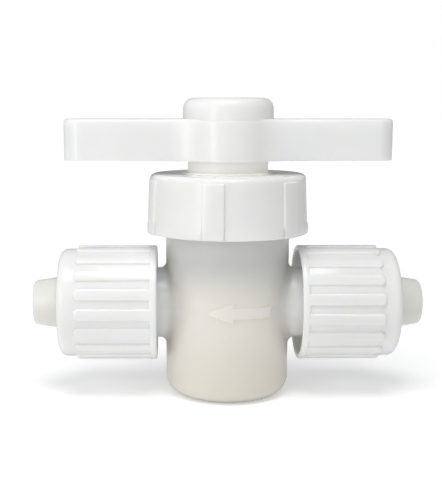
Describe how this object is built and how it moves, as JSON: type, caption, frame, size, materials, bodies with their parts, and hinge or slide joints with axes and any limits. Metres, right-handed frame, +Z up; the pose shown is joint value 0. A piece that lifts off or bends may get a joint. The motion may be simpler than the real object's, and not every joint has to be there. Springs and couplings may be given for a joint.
{
  "type": "stop valve with butterfly handle",
  "caption": "In-line quarter-turn plug stop valve for half-inch plastic pipe, with butterfly handle, tapered inserts and ribbed coupling nuts.",
  "frame": {"origin": "centre of the barrel's foot", "axes": "+Z up the plug's axis, +X along the pipe line towards the inlet, the flow arrow faces -Y and points to -X"},
  "size_m": [0.1072, 0.0446, 0.0816],
  "materials": {
    "body_plastic": "glossy natural acetal, slightly translucent",
    "nut_plastic": "glossy white acetal",
    "handle_plastic": "glossy white acetal",
    "stem_plastic": "glossy cream acetal",
    "seat_plastic": "smooth waxy white",
    "ring_plastic": "glossy white acetal",
    "rubber": "smooth black rubber",
    "screw_steel": "bright stainless steel"
  },
  "bodies": {
    "valve": {"valve_body": "body_plastic", "bonnet_nut": "nut_plastic", "thrust_washer": "seat_plastic", "inlet_seat": "seat_plastic", "outlet_seat": "seat_plastic", "inlet_seat_seal": "rubber", "outlet_seat_seal": "rubber"},
    "handle_and_plug": {"plug": "stem_plastic", "lower_plug_seal": "rubber", "middle_plug_seal": "rubber", "upper_plug_seal": "rubber", "handle": "handle_plastic", "handle_screw": "screw_steel", "handle_screw_washer": "screw_steel", "handle_cap": "handle_plastic"},
    "inlet_ring": {"inlet_grip_ring": "ring_plastic"},
    "inlet_coupling": {"inlet_nut": "nut_plastic"},
    "outlet_ring": {"outlet_grip_ring": "ring_plastic"},
    "outlet_coupling": {"outlet_nut": "nut_plastic"}
  },
  "joints": [
    {"name": "handle_turn", "type": "hinge", "parent": "valve", "child": "handle_and_plug", "pos_m": [0, 0, 0.0648], "axis": [0, 0, 1], "range_deg": [-90, 0]},
    {"name": "inlet_ring_slide", "type": "slide", "parent": "valve", "child": "inlet_ring", "axis": [1, 0, 0], "range_m": [0, 0.00875]},
    {"name": "inlet_nut_turn", "type": "hinge", "parent": "inlet_ring", "child": "inlet_coupling", "pos_m": [0.0329, 0, 0.02525], "axis": [1, 0, 0], "range_deg": [0, 1260]},
    {"name": "outlet_ring_slide", "type": "slide", "parent": "valve", "child": "outlet_ring", "axis": [-1, 0, 0], "range_m": [0, 0.00875]},
    {"name": "outlet_nut_turn", "type": "hinge", "parent": "outlet_ring", "child": "outlet_coupling", "pos_m": [-0.0329, 0, 0.02525], "axis": [-1, 0, 0], "range_deg": [0, 1260]}
  ],
  "couplings": [
    {"joint": "inlet_ring_slide", "follows": "inlet_nut_turn", "m_per_rad": 0.00039789},
    {"joint": "outlet_ring_slide", "follows": "outlet_nut_turn", "m_per_rad": 0.00039789}
  ]
}
